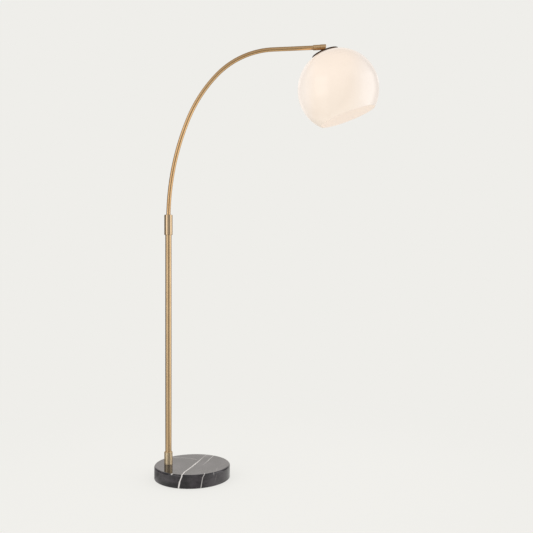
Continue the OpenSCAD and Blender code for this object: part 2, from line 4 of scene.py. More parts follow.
import bpy
import numpy as np
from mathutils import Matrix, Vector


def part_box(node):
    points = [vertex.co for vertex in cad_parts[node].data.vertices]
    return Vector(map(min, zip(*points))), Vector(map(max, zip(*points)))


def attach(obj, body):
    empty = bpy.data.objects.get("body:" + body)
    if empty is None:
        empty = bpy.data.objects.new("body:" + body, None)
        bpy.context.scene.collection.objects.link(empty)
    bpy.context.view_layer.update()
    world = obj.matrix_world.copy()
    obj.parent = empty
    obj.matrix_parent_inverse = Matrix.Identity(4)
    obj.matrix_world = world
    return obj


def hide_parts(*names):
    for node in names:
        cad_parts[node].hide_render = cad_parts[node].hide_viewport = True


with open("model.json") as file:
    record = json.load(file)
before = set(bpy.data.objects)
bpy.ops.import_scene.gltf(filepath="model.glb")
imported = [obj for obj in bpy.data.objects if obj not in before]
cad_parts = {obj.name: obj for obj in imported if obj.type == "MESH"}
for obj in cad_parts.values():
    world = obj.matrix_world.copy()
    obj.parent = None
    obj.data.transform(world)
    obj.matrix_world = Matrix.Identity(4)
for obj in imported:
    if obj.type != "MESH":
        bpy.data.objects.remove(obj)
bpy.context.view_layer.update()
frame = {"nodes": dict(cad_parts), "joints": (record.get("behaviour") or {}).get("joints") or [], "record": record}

# Metres, radians and display colours of 0 to 255. The lamp stands on z = 0 with the middle of its
# stone at the origin, its arm reaches towards +X, and the camera looks along +Y.

# ---------------------------------------------------------------- places, read from the frame


def corners(node):
    """Lowest and highest corner of a CAD node as arrays."""
    low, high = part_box(node)
    return np.array(low), np.array(high)


JOINTS = {j["name"]: j for j in frame["joints"]}
SLOT_OF = {s["node"]: s["material_slot"] for s in frame["record"]["subparts"]}
STONE_TOP = float(corners("base_stone")[1][2])
POLE_LOW, POLE_HIGH = corners("pole_tube")
ARM_FOOT = corners("arm_tube")[0][2]
GLASS_HIGH = corners("glass_globe")[1]
TILT_PIVOT = np.array(JOINTS["shade_tilt"]["pos_m"], float)

# ---------------------------------------------------------------- sizes

POLE_X = (POLE_LOW[0] + POLE_HIGH[0]) / 2
POLE_R = 0.0115
POLE_WALL = 0.0015
POLE_EASE = 0.0003

ARM_R = 0.0078
ARM_WALL = 0.0012
ARM_RISE = 0.014  # how far above the pole's end the first bend starts
ARM_BENDS = ((0.980, 22.5), (0.525, 21.0), (0.310, 44.0))  # radius and degrees of each bend
ARM_STRAIGHT = 0.149  # the straight run after the bends
ARM_IN_SLEEVE = 0.020  # how far the tube runs on inside the tip sleeve
ARM_SPACING = 0.006  # between rings on the bends
ARM_FOOT_RINGS, ARM_END_RINGS = 40, 24  # on the straight runs
ARM_BEND_RINGS = 8  # the fewest on a bend

GLOBE_R = 0.151
GLASS_T = 0.0025
GLASS_HOLE_R = 0.0075
MOUTH_R = 0.106

CAP_OVER = 0.1546  # radius of the cap's dished top
CAP_UNDER = 0.1526  # radius of its under face
CAP_R = 0.051
CAP_HOLE_R = 0.0052
CAP_BEAD = 0.0023  # radius of the rolled edge
CAP_BEAD_GAP = 0.0003  # between the rolled edge and the glass

GLOBE_MIDDLE = np.array([GLASS_HIGH[0] - GLOBE_R, 0.0, GLASS_HIGH[2] - GLOBE_R])
SHADE_UP = (TILT_PIVOT - GLOBE_MIDDLE) / np.linalg.norm(TILT_PIVOT - GLOBE_MIDDLE)
SHADE_OUT = np.array([SHADE_UP[2], 0.0, -SHADE_UP[0]])
SHADE_TURN = math.atan2(-SHADE_UP[0], SHADE_UP[2])

FORWARD = np.array([1.0, 0.0, 0.0])
BACKWARD = np.array([0.0, 1.0, 0.0])
UPWARD = np.array([0.0, 0.0, 1.0])

# ---------------------------------------------------------------- surfaces


def skin(name, points, body, replaces):
    """A closed mesh over rings: points[i, j] is the j-th point round the i-th ring, and the last
    ring joins the first. Its map "lengthways" runs once round in u and in metres along in v, which
    grows by each move of the ring's middle and each change of its radius. The faces are turned
    outwards by the sign of the volume that they enclose."""
    rings, around = points.shape[:2]
    vertices = points.reshape(-1, 3)
    here = np.arange(rings * around).reshape(rings, around)
    there = np.roll(here, -1, axis=0)
    quads = np.stack([here, np.roll(here, -1, 1), np.roll(there, -1, 1), there], -1).reshape(-1, 4)

    middles = points.mean(axis=1)
    radii = np.linalg.norm(points[:, 0] - middles, axis=1)
    run = np.linalg.norm(np.diff(middles, axis=0, append=middles[:1]), axis=1)
    run = run + np.abs(np.diff(radii, append=radii[:1]))
    u, v = np.linspace(0.0, 1.0, around + 1), np.concatenate([[0.0], np.cumsum(run)])
    u0, v0 = np.meshgrid(u[:-1], v[:-1])
    u1, v1 = np.meshgrid(u[1:], v[1:])
    quad_uv = np.stack([u0, v0, u1, v0, u1, v1, u0, v1], -1).reshape(-1, 4, 2)

    a, b, c, d = vertices[quads].transpose(1, 0, 2)
    volume = np.einsum("ij,ij->", a, np.cross(b, c)) + np.einsum("ij,ij->", a, np.cross(c, d))
    if volume < 0:
        quads, quad_uv = quads[:, ::-1], quad_uv[:, ::-1]

    mesh = bpy.data.meshes.new(name)
    mesh.vertices.add(len(vertices))
    mesh.vertices.foreach_set("co", vertices.astype(np.float32).ravel())
    mesh.loops.add(quads.size)
    mesh.loops.foreach_set("vertex_index", quads.astype(np.int32).ravel())
    mesh.polygons.add(len(quads))
    mesh.polygons.foreach_set("loop_start", np.arange(0, quads.size, 4, dtype=np.int32))
    layer = mesh.uv_layers.new(name="lengthways")
    layer.uv.foreach_set("vector", quad_uv.astype(np.float32).ravel())
    mesh.update(calc_edges=True)
    mesh.validate()
    mesh.shade_smooth()
    piece = bpy.data.objects.new(name, mesh)
    bpy.context.scene.collection.objects.link(piece)
    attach(piece, body)
    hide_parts(*replaces)
    return piece


def eased(outline, ease, steps=6, most=0.45, hold=0.25):
    """Rounds every corner of a closed outline. Corner P, whose sides run to A and B, becomes the
    parabola (1-s)^2 a + 2 s (1-s) P + s^2 b, with a and b `ease` away from P along the sides, or
    `most` of the shorter side if that is less. A holding point a little farther off on each side,
    by the ease or by `hold` of what is left of the half side, keeps the flats flat."""
    p = np.asarray(outline, float)
    to_a, to_b = np.roll(p, 1, axis=0) - p, np.roll(p, -1, axis=0) - p
    len_a, len_b = np.linalg.norm(to_a, axis=1), np.linalg.norm(to_b, axis=1)
    ease = np.minimum(np.broadcast_to(ease, len(p)), most * np.minimum(len_a, len_b))
    to_a, to_b = to_a / len_a[:, None], to_b / len_b[:, None]
    hold_a = ease + np.minimum(ease, hold * (len_a / 2 - ease))
    hold_b = ease + np.minimum(ease, hold * (len_b / 2 - ease))
    s = np.linspace(0.0, 1.0, steps + 1)[None, :, None]
    a, b = p + to_a * ease[:, None], p + to_b * ease[:, None]
    curve = (1 - s) ** 2 * a[:, None] + 2 * s * (1 - s) * p[:, None] + s ** 2 * b[:, None]
    before, after = p + to_a * hold_a[:, None], p + to_b * hold_b[:, None]
    return np.concatenate([before[:, None], curve, after[:, None]], axis=1).reshape(-1, 2)


def round_angles(around):
    """The angles of `around` points evenly spaced on a full turn."""
    return np.arange(around) * (2 * np.pi / around)


def turned(outline, middle, along, across, around):
    """Carries an outline of (radius, height) round an axis: the point at angle t is middle
    + height * along + radius * (cos t * across + sin t * (along x across))."""
    outline = np.asarray(outline, float)
    radius, height = outline[:, 0][:, None, None], outline[:, 1][:, None, None]
    t = round_angles(around)
    round_it = np.cos(t)[:, None] * across + np.sin(t)[:, None] * np.cross(along, across)
    return middle + height * along + radius * round_it[None]


def arm_line():
    """Points and headings along the arm's middle line. From its foot it rises straight. On each
    bend of radius R the heading falls from h to h - a while the point moves by
    R (sin h - sin g, cos g - cos h), g being the heading reached. It ends with a straight run at
    the last heading."""
    start = np.array([POLE_X, POLE_HIGH[2] + ARM_RISE])
    rise = np.linspace(ARM_FOOT, start[1], ARM_FOOT_RINGS, endpoint=False)
    heading = math.pi / 2
    points = [np.stack([np.full_like(rise, POLE_X), rise], -1)]
    headings = [np.full_like(rise, heading)]
    for radius, degrees in ARM_BENDS:
        fall = math.radians(degrees)
        steps = max(ARM_BEND_RINGS, int(radius * fall / ARM_SPACING))
        g = heading - np.linspace(0.0, fall, steps, endpoint=False)
        sine, cosine = math.sin(heading), math.cos(heading)
        points.append(start + radius * np.stack([sine - np.sin(g), np.cos(g) - cosine], -1))
        headings.append(g)
        heading = heading - fall
        start = start + radius * np.array([sine - math.sin(heading), math.cos(heading) - cosine])
    run = np.linspace(0.0, ARM_STRAIGHT + ARM_IN_SLEEVE, ARM_END_RINGS)
    points.append(start + run[:, None] * np.array([math.cos(heading), math.sin(heading)]))
    headings.append(np.full_like(run, heading))
    return np.concatenate(points), np.concatenate(headings)


def piped(line, headings, radius, wall, around=48):
    """A tube along a line in the XZ plane: outer rings on the way there and inner rings on the way
    back. The point at angle t of a ring is P + r (cos t * n + sin t * Y), n being the line's
    normal in the plane."""
    n = np.stack([-np.sin(headings), 0 * headings, np.cos(headings)], -1)
    p = np.stack([line[:, 0], 0 * line[:, 0], line[:, 1]], -1)[:, None]
    t = round_angles(around)[None, :, None]
    round_it = np.cos(t) * n[:, None] + np.sin(t) * BACKWARD
    return np.concatenate([p + radius * round_it, (p + (radius - wall) * round_it)[::-1]])


def arc(radius, angle):
    """Points (radius, height) of an arc round the origin, the angle counted from the axis."""
    return np.stack([radius * np.sin(angle), radius * np.cos(angle)], -1)


def globe_outline(steps=120, lip_steps=9):
    """The blown globe's wall as a closed outline: the outer arc from the neck hole to the mouth, a
    half round at the fire-polished lip, the inner arc back, and a half round at the hole. Both
    lips are half circles of the wall's thickness, centred on the middle of the wall."""
    half = GLASS_T / 2
    middle = GLOBE_R - half
    hole = math.asin((GLASS_HOLE_R + half) / middle)
    mouth = math.pi - math.asin((MOUTH_R + half) / middle)
    angles = np.linspace(hole, mouth, steps)
    s = np.linspace(0.0, math.pi, lip_steps)[1:-1, None]

    def lip(angle, way):
        across = np.array([math.sin(angle), math.cos(angle)])
        onward = way * np.array([math.cos(angle), -math.sin(angle)])
        return middle * across + half * (np.cos(s) * across + np.sin(s) * onward)

    return np.concatenate([
        arc(GLOBE_R, angles),
        lip(mouth, 1.0),
        arc(GLOBE_R - GLASS_T, angles[::-1]),
        lip(hole, -1.0)[::-1],
    ])


def cap_outline(steps=48, bead_steps=26):
    """The cap's closed outline. Its top is an arc of radius CAP_OVER and its under face one of
    CAP_UNDER, from the hole to the rim, and at the rim both run into a bead: middle
    + bead (cos t * onward + sin t * outward), which stands on the glass and so hides the gasket's
    edge."""
    at = GLOBE_R + CAP_BEAD_GAP + CAP_BEAD
    rim = math.asin((CAP_R - CAP_BEAD) / at)
    hole = math.asin(CAP_HOLE_R / CAP_OVER)
    start, end = math.asin((CAP_OVER - at) / CAP_BEAD), math.asin((at - CAP_UNDER) / CAP_BEAD)
    turn = np.linspace(math.pi - start, end - math.pi, bead_steps)[1:-1, None]
    onward = np.array([math.cos(rim), -math.sin(rim)])
    outward = np.array([math.sin(rim), math.cos(rim)])
    return np.concatenate([
        arc(CAP_OVER, np.linspace(hole, rim - CAP_BEAD * math.cos(start) / at, steps)),
        at * outward + CAP_BEAD * (np.cos(turn) * onward + np.sin(turn) * outward),
        arc(CAP_UNDER, np.linspace(rim - CAP_BEAD * math.cos(end) / at, hole, steps)),
    ])


# ---------------------------------------------------------------- node sheets


class Signal:
    """One output socket of a node sheet. Sums, products and quotients of signals add Math nodes."""

    def __init__(self, sheet, socket):
        self.sheet, self.socket = sheet, socket

    def _math(self, operation, *terms):
        return self.sheet.node("ShaderNodeMath", {"operation": operation}, dict(enumerate(terms)))

    def __add__(self, other):
        return self._math("ADD", self, other)

    __radd__ = __add__

    def __sub__(self, other):
        return self._math("SUBTRACT", self, other)

    def __rsub__(self, other):
        return self._math("SUBTRACT", other, self)

    def __mul__(self, other):
        return self._math("MULTIPLY", self, other)

    __rmul__ = __mul__

    def __truediv__(self, other):
        return self._math("DIVIDE", self, other)

    def __abs__(self):
        return self._math("ABSOLUTE", self)

    def larger(self, other):
        return self._math("MAXIMUM", self, other)


class Sheet:
    """The node sheet of a material or of the world."""

    def __init__(self, tree):
        self.tree = tree

    def node(self, kind, settings=None, sockets=None, out=0):
        """Adds a node of a type: its settings first, then the values or links of its sockets."""
        made = self.tree.nodes.new(kind)
        for key, value in (settings or {}).items():
            if key == "stops":
                ramp = made.color_ramp
                while len(ramp.elements) < len(value):
                    ramp.elements.new(0.5)
                for element, (position, grey) in zip(ramp.elements, value):
                    element.position = position
                    element.color = (grey, grey, grey, 1.0)
            else:
                setattr(made, key, value)
        for key, value in (sockets or {}).items():
            if isinstance(value, Signal):
                self.link(value, made, key)
            else:
                made.inputs[key].default_value = value
        return Signal(self, made.outputs[out])

    def link(self, value, node, key):
        self.tree.links.new(value.socket, node.inputs[key])

    def parts(self, vector):
        """The three parts of a vector."""
        first = self.node("ShaderNodeSeparateXYZ", None, {0: vector})
        return tuple(Signal(self, first.socket.node.outputs[k]) for k in range(3))

    def vector(self, operation, *terms):
        """A number from vectors: LENGTH or DISTANCE."""
        settings = {"operation": operation}
        return self.node("ShaderNodeVectorMath", settings, dict(enumerate(terms)), "Value")

    def placed(self, place, move=(0, 0, 0), turn=(0, 0, 0), stretch=(1, 1, 1)):
        """Stretches, then turns, then moves a place."""
        return self.node(
            "ShaderNodeMapping", {"vector_type": "POINT"},
            {"Vector": place, "Location": move, "Rotation": turn, "Scale": stretch},
        )

    def noise(self, place, scale, detail, roughness):
        return self.node(
            "ShaderNodeTexNoise", None,
            {"Vector": place, "Scale": scale, "Detail": detail, "Roughness": roughness}, "Fac",
        )

    def mix(self, share, a, b):
        """Blends two colours."""
        a, b = (c if isinstance(c, Signal) else (*c, 1.0) for c in (a, b))
        return self.node(
            "ShaderNodeMix", {"data_type": "RGBA", "clamp_factor": True},
            {0: share, 6: a, 7: b}, 2,
        )

    def smooth(self, value, low, high, start=0.0, end=1.0):
        """From start below low to end above high, with an S curve between."""
        return self.node(
            "ShaderNodeMapRange", {"interpolation_type": "SMOOTHSTEP"},
            {"Value": value, "From Min": low, "From Max": high, "To Min": start, "To Max": end},
            "Result",
        )

    def track(self, value, *points):
        """A broken line through (value, result) points, level beyond its ends."""
        at, to = np.array(sorted(points), float).T
        low, span = float(at[0]), float(np.ptp(at))
        least, height = float(to.min()), float(np.ptp(to))
        stops = [(float(x - low) / span, float(y - least) / height) for x, y in zip(at, to)]
        scaled = (value - low) / span
        line = self.node("ShaderNodeValToRGB", {"stops": stops}, {"Fac": scaled}, "Color")
        return self.parts(line)[0] * height + least


class Finish(Sheet):
    """A material with one Principled shader."""

    def __init__(self, name, **constants):
        self.material = bpy.data.materials.new(name)
        self.material.use_nodes = True
        super().__init__(self.material.node_tree)
        self.shader = self.tree.nodes["Principled BSDF"]
        self.place = self.node("ShaderNodeTexCoord", out="Object")
        for key, value in constants.items():
            self.shader.inputs[key.replace("_", " ")].default_value = value

    def lengthways(self):
        """The piece's own map: once round it, and metres along it."""
        return self.node("ShaderNodeUVMap", {"uv_map": "lengthways"})

    def on_shade(self):
        """Places counted from the globe's middle, first as they are and then turned so that the
        shade's axis is upright."""
        middle = self.placed(self.place, move=tuple(-GLOBE_MIDDLE))
        return middle, self.placed(middle, turn=(0.0, SHADE_TURN, 0.0))

    def wears(self, **surface):
        """Links signals to the shader's sockets, such as Base_Color."""
        for key, value in surface.items():
            self.link(value, self.shader, key.replace("_", " "))

    def bump(self, height, distance, strength):
        """Raises the surface by a signal."""
        sockets = {"Height": height, "Distance": distance, "Strength": strength}
        self.link(self.node("ShaderNodeBump", None, sockets, "Normal"), self.shader, "Normal")


def tint(red, green, blue):
    """A colour given in display values of 0 to 255, as linear light."""
    c = np.array([red, green, blue]) / 255.0
    linear = np.where(c <= 0.04045, c / 12.92, ((c + 0.055) / 1.055) ** 2.4)
    return tuple(float(x) for x in linear)


# ---------------------------------------------------------------- materials

DRAWN_LINES = (260.0, 5.0, 1.0)  # how fine brass's lines lie round a drawn tube and along it
TURNED_LINES = (60.0, 60.0, 4200.0)  # and over X, Y and Z of a turned piece
NO_EDGE = 9.0  # a distance that no piece reaches
EDGE_BLEND = 0.003
EDGE_LIGHT, EDGE_DARK = (92, 66, 44), (58, 41, 28)
SPOT_DEPTH = 0.0006
INNER_WALL_FROM, INNER_WALL_TO = 0.0009, 0.0016  # depths under the globe's outer face
BLACK = (0.0, 0.0, 0.0)


def satin_brass(name, grain, light, dark, rough, spread=0.0):
    """Satin brass: long fine lines along a drawn tube or round a turned piece, a slow tarnish and
    small handling marks. `spread` is how far the lines draw a highlight out."""
    f = Finish(name, Metallic=1.0, IOR=1.5, Anisotropic=spread, Anisotropic_Rotation=0.25,
               Specular_Tint=(0.55, 0.50, 0.44, 1.0))
    if grain == "drawn":
        fine = f.placed(f.lengthways(), stretch=DRAWN_LINES)
    else:
        fine = f.placed(f.place, stretch=TURNED_LINES)
    lines = f.noise(fine, 1.0, 4.0, 0.6)
    tarnish = f.noise(f.place, 9.0, 2.0, 0.5)
    marks = f.smooth(f.noise(f.place, 160.0, 3.0, 0.6), 0.64, 0.80)
    f.wears(
        Base_Color=f.mix(0.6 * tarnish + 0.3 * lines + 0.14 * marks, tint(*light), tint(*dark)),
        Roughness=rough - 0.05 + 0.08 * lines + 0.06 * tarnish + 0.04 * marks,
    )
    f.bump(lines, 0.00002, 0.3)
    return f.material


def dark_bronze(name, light, dark, edge_from=NO_EDGE):
    """Dark bronzed brass, clouded brown, and darker still from a distance of edge_from off the
    shade's axis."""
    f = Finish(name, Metallic=1.0, IOR=1.5, Specular_Tint=(0.30, 0.24, 0.19, 1.0))
    cloud = f.noise(f.place, 22.0, 4.0, 0.6)
    speck = f.noise(f.place, 900.0, 2.0, 0.5)
    _, upright = f.on_shade()
    off_axis = f.vector("LENGTH", f.placed(upright, stretch=(1.0, 1.0, 0.0)))
    edge = f.smooth(off_axis, edge_from, edge_from + EDGE_BLEND)
    face = f.mix(cloud, tint(*light), tint(*dark))
    f.wears(
        Base_Color=f.mix(edge, face, f.mix(cloud, tint(*EDGE_LIGHT), tint(*EDGE_DARK))),
        Roughness=0.30 + 0.16 * cloud + 0.06 * speck,
    )
    f.bump(speck, 0.00003, 0.4)
    return f.material


def black_marble(name):
    """Polished black marble. A vein is a crack healed with white, a sheet through the block: it
    shows where the distance from the sheet, x less the sheet's track over y and over depth, is
    less than half its width. Slow and quick noise bend each sheet and change its width."""
    f = Finish(name, IOR=1.62)
    x, y, z = f.parts(f.place)
    depth = STONE_TOP - z
    sway = f.noise(f.place, 16.0, 2.0, 0.5) - 0.5
    jitter = f.noise(f.placed(f.place, move=(3.1, 1.7, 0.4)), 75.0, 3.0, 0.65) - 0.5
    swell = f.noise(f.placed(f.place, move=(0.0, 2.0, 0.0)), 34.0, 3.0, 0.6)
    bend = 0.0045 * sway + 0.0030 * jitter
    width = 0.5 + swell

    def sheet(over_y, over_depth, half, strength, bent=1.0):
        """A vein of half width `half`, which follows `bent` of the bend."""
        off = abs(x - f.track(y, *over_y) - f.track(depth, *over_depth) + bent * bend)
        return f.smooth(off / half, 0.6, 1.5, 1.0, 0.0) * strength

    # The main sheet crosses the top from back to front and leans back under the front edge
    main = sheet(
        ((0.140, 0.0445), (0.101, 0.0356), (0.0388, 0.0209),
         (-0.0425, -0.0003), (-0.1023, -0.0176), (-0.140, -0.0232)),
        ((0.0, 0.0), (0.0066, -0.0002), (0.0243, -0.0076), (0.045, -0.0120)),
        f.track(y, (0.14, 0.0010), (0.06, 0.0012), (0.0, 0.0026), (-0.08, 0.0020),
                (-0.14, 0.0022)) * width,
        f.smooth(swell, 0.25, 0.45, 0.72, 0.96) * f.smooth(y, 0.040, 0.100, 1.0, 0.38),
    )
    # The second runs beside it over the back half of the top and is lost at the middle
    second = sheet(
        ((0.140, 0.0765), (0.0575, 0.0575), (0.0033, 0.0445), (-0.140, 0.0070)),
        ((0.0, 0.0), (0.045, 0.010)),
        0.0013 * width,
        f.smooth(y, -0.030, 0.055, 0.0, 0.55),
    )
    # The third shows on the front wall only
    third = sheet(
        ((0.140, 0.050), (-0.140, 0.0572)),
        ((0.0, 0.0), (0.0114, -0.0061), (0.045, -0.0124)),
        0.0014 * width,
        f.smooth(y, -0.122, -0.108, 0.52, 0.0),
        bent=0.6,
    )
    # A short mark over the front edge
    mark = sheet(
        ((-0.094, 0.0868), (-0.127, 0.0895), (-0.140, 0.0905)),
        ((0.0, 0.0), (0.045, 0.004)),
        0.0016 * width,
        f.smooth(y, -0.118, -0.092, 0.36, 0.0) * f.smooth(depth, 0.0, 0.014, 1.0, 0.0),
        bent=1.4,
    )

    def hair(over_x, strength, half=0.0022, bent=0.5):
        """A faint vein that runs across: its track is y over x, the same at every depth."""
        off = abs(y - f.track(x, *over_x) + bent * bend)
        return f.smooth(off / half, 0.5, 1.4, 1.0, 0.0) * strength

    # Two hairs across the back of the top, and a white spot by the front edge
    hair_left = hair(
        ((-0.1, 0.0905), (-0.0799, 0.0870), (-0.0171, 0.0760), (0.0197, 0.0527)),
        f.smooth(x, 0.004, 0.020, 0.34, 0.0),
    )
    hair_right = hair(
        ((0.0337, 0.1060), (0.052, 0.1120), (0.07, 0.1190)),
        f.smooth(x, 0.026, 0.036, 0.0, 0.34),
    )
    from_spot = f.vector("DISTANCE", f.place, (-0.0590, -0.1215, STONE_TOP - SPOT_DEPTH))
    spot = f.smooth(from_spot + 1.2 * bend, 0.0020, 0.0052, 0.75, 0.0)
    veins = main
    for vein in (second, third, mark, hair_left, hair_right, spot):
        veins = veins.larger(vein)

    # A web of faint grey threads over slow clouds
    cells = {"Vector": f.placed(f.place, stretch=(1.0, 0.55, 1.0)), "Scale": 19.0}
    thread = f.node("ShaderNodeTexVoronoi", {"feature": "DISTANCE_TO_EDGE"}, cells, "Distance")
    patches = f.smooth(f.noise(f.place, 14.0, 2.0, 0.5), 0.50, 0.70)
    web = f.smooth(thread, 0.0, 0.02, 1.0, 0.0) * patches
    cloud = f.noise(f.placed(f.place, stretch=(1.0, 0.6, 1.6)), 16.0, 5.0, 0.65)
    ground = f.mix(f.smooth(cloud, 0.38, 0.68), tint(24, 22, 25), tint(65, 60, 65))
    ground = f.mix(0.25 * web, ground, tint(170, 162, 158))
    grain = f.noise(f.place, 420.0, 3.0, 0.6)
    f.wears(
        Base_Color=f.mix(veins, ground, tint(236, 232, 230)),
        Roughness=0.07 + 0.05 * grain + 0.10 * veins,
    )
    f.bump(f.noise(f.place, 60.0, 2.0, 0.5), 0.00002, 0.25)
    return f.material


def opal_glass(name):
    """Opal glass with a warm light behind it. The glow is painted light, and so is its change of tone: brighter at
    the top and dimmer towards the mouth as painted shade, dimmer and greyer on the inner wall, cooler at the left
    and right as a painted reflection of the soft boxes, and it gives way where the gloss takes over at a slant."""
    f = Finish(name, IOR=1.6, Roughness=0.20, Emission_Strength=1.0)
    middle, upright = f.on_shade()
    height = f.parts(upright)[2]
    across = f.parts(middle)[0]
    inner_wall = f.smooth(
        f.vector("LENGTH", middle), GLOBE_R - INNER_WALL_TO, GLOBE_R - INNER_WALL_FROM, 1.0, 0.0)
    cloud = f.noise(f.place, 14.0, 2.0, 0.5)
    gloss = f.node("ShaderNodeFresnel", None, {"IOR": 1.5})
    # Painted shade: the glow is brighter at the top and dimmer towards the mouth
    warm = f.mix(f.smooth(height, -0.12, 0.13), tint(180, 163, 148), tint(198, 179, 164))
    warm = f.mix(0.2 * cloud, warm, tint(188, 176, 164))
    # Painted reflection of the soft boxes: the glow is cooler at the left and at the right
    warm = f.mix(f.smooth(across, -0.135, -0.085, 1.0, 0.0), warm, tint(192, 180, 173))
    warm = f.mix(f.smooth(across, 0.010, 0.11), warm, tint(183, 171, 165))
    # Painted light: a dimmer, greyer glow on the inner wall
    warm = f.mix(inner_wall, warm, tint(176, 168, 162))
    f.wears(
        Base_Color=f.mix(cloud, tint(196, 190, 182), tint(190, 184, 176)),
        Emission_Color=f.mix(gloss, warm, BLACK),
    )
    f.bump(f.noise(f.place, 18.0, 2.0, 0.5), 0.0002, 0.12)
    return f.material


def frosted_bulb(name):
    """A frosted bulb, lit."""
    f = Finish(name, IOR=1.5, Roughness=0.35, Emission_Strength=1.4)
    grain = f.noise(f.place, 700.0, 2.0, 0.5)
    f.wears(
        Base_Color=f.mix(grain, tint(238, 232, 222), tint(228, 220, 208)),
        Emission_Color=f.mix(grain, tint(255, 236, 208), tint(250, 226, 194)),
    )
    f.bump(grain, 0.00003, 0.4)
    return f.material


def plated_steel(name):
    """Zinc plated steel: a cool satin with a fine grain."""
    f = Finish(name, Metallic=1.0, IOR=1.5)
    cloud = f.noise(f.place, 60.0, 4.0, 0.6)
    grain = f.noise(f.place, 1400.0, 2.0, 0.5)
    f.wears(
        Base_Color=f.mix(cloud, tint(198, 199, 200), tint(160, 162, 166)),
        Roughness=0.26 + 0.14 * cloud + 0.08 * grain,
    )
    f.bump(grain, 0.00002, 0.3)
    return f.material


def moulded(name, light, dark, rough):
    """Moulded plastic, rubber or ceramic: two near tones and a fine texture."""
    f = Finish(name, IOR=1.5)
    cloud = f.noise(f.place, 45.0, 3.0, 0.55)
    grain = f.noise(f.place, 500.0, 3.0, 0.55)
    f.wears(
        Base_Color=f.mix(0.6 * cloud + 0.4 * grain, tint(*light), tint(*dark)),
        Roughness=rough + 0.12 * grain,
    )
    f.bump(grain, 0.00004, 0.5)
    return f.material


def pressed_felt(name):
    """Pressed felt: matted fibres, seen as two crossing grains."""
    f = Finish(name, IOR=1.4)
    fibres = (300.0, 1600.0, 900.0)
    one = f.noise(f.placed(f.place, turn=(0.0, 0.0, 0.6), stretch=fibres), 1.0, 3.0, 0.6)
    two = f.noise(f.placed(f.place, turn=(0.0, 0.0, 2.1), stretch=fibres), 1.0, 3.0, 0.6)
    mat = 0.5 * one + 0.5 * two
    f.wears(
        Base_Color=f.mix(f.smooth(mat, 0.3, 0.7), tint(30, 29, 29), tint(66, 64, 62)),
        Roughness=0.9 + 0.1 * mat,
    )
    f.bump(mat, 0.0003, 0.8)
    return f.material


# One brass, given its own tones on each part as painted light, so that each part looks as lit as in its place
BRASS_POLE = satin_brass(
    "brass_pole", "drawn", (238, 208, 166), (206, 170, 125), rough=0.27, spread=0.8)
# Painted reflection of the lit globe: the arm's brass is warmer
BRASS_ARM = satin_brass("brass_arm", "drawn", (240, 201, 151), (209, 164, 113), rough=0.22)
BRASS_TURNED = satin_brass(
    "brass_turned", "turned", (242, 216, 180), (210, 178, 138), rough=0.27, spread=0.8)
BRASS_COLLAR = satin_brass(
    "brass_collar", "turned", (234, 207, 170), (202, 170, 130), rough=0.12, spread=0.3)
# Painted highlight: the foot socket's brass is paler
BRASS_SOCKET = satin_brass(
    "brass_socket", "turned", (254, 234, 198), (232, 204, 162), rough=0.42, spread=0.9)
# Painted light: the tip's brass is brighter and warmer, as a painted reflection of the lit globe
BRASS_TIP = satin_brass("brass_tip", "turned", (250, 212, 162), (222, 178, 128), rough=0.28)
BRONZE_CAP = dark_bronze("bronze_cap", (214, 190, 158), (182, 156, 124), edge_from=0.0445)
BRONZE_NECK = dark_bronze("bronze_neck", (150, 112, 76), (108, 80, 54))
OPAL = opal_glass("opal_glass_lit")
FINISHES = {
    "brass": BRASS_TURNED,
    "bronze": BRONZE_CAP,
    "stone": black_marble("black_marble"),
    "felt": pressed_felt("felt"),
    "steel": plated_steel("zinc_plated_steel"),
    "nylon": moulded("natural_nylon", (226, 220, 206), (208, 202, 188), rough=0.42),
    "black_plastic": moulded("black_moulding", (34, 33, 33), (22, 21, 21), rough=0.40),
    "wire_sheath": moulded("wire_sheath", (30, 30, 31), (20, 20, 21), rough=0.50),
    "silicone": moulded("silicone_gasket", (58, 50, 45), (44, 38, 35), rough=0.45),
    "opal_glass": OPAL,
    "bulb_glass": frosted_bulb("frosted_bulb_lit"),
    "ceramic": moulded("ceramic_core", (232, 226, 214), (216, 210, 198), rough=0.55),
}
OWN_FINISHES = {
    "foot_socket": BRASS_SOCKET,
    "lock_collar": BRASS_COLLAR,
    "tip_sleeve": BRASS_TIP,
    "knuckle_fork": BRASS_TIP,
    "tilt_stem": BRONZE_NECK,
}


def wear(piece, material):
    piece.data.materials.clear()
    piece.data.materials.append(material)


for node, piece in frame["nodes"].items():
    wear(piece, OWN_FINISHES.get(node, FINISHES[SLOT_OF[node]]))

# ---------------------------------------------------------------- pieces

# The pole: a plain tube with eased ends
pole_outline = eased([
    (POLE_R, POLE_LOW[2]),
    (POLE_R, POLE_HIGH[2]),
    (POLE_R - POLE_WALL, POLE_HIGH[2]),
    (POLE_R - POLE_WALL, POLE_LOW[2]),
], POLE_EASE)
pole_foot = np.array([POLE_X, 0.0, 0.0])
pole_rings = turned(pole_outline, pole_foot, UPWARD, FORWARD, around=96)
wear(skin("pole_skin", pole_rings, "stand", ["pole_tube"]), BRASS_POLE)

# The arm: one tube, bent over
arm_rings = piped(*arm_line(), ARM_R, ARM_WALL)
wear(skin("arm_skin", arm_rings, "arm", ["arm_tube"]), BRASS_ARM)

# The globe: a blown shell with polished lips
globe_rings = turned(globe_outline(), GLOBE_MIDDLE, SHADE_UP, SHADE_OUT, around=192)
wear(skin("globe_skin", globe_rings, "head", ["glass_globe"]), OPAL)

# The cap: a dished disc over the gasket, with its edge rolled over the gasket's edge
cap_rings = turned(cap_outline(), GLOBE_MIDDLE, SHADE_UP, SHADE_OUT, around=160)
wear(skin("cap_skin", cap_rings, "head", ["shade_cap"]), BRONZE_CAP)

# ---------------------------------------------------------------- studio

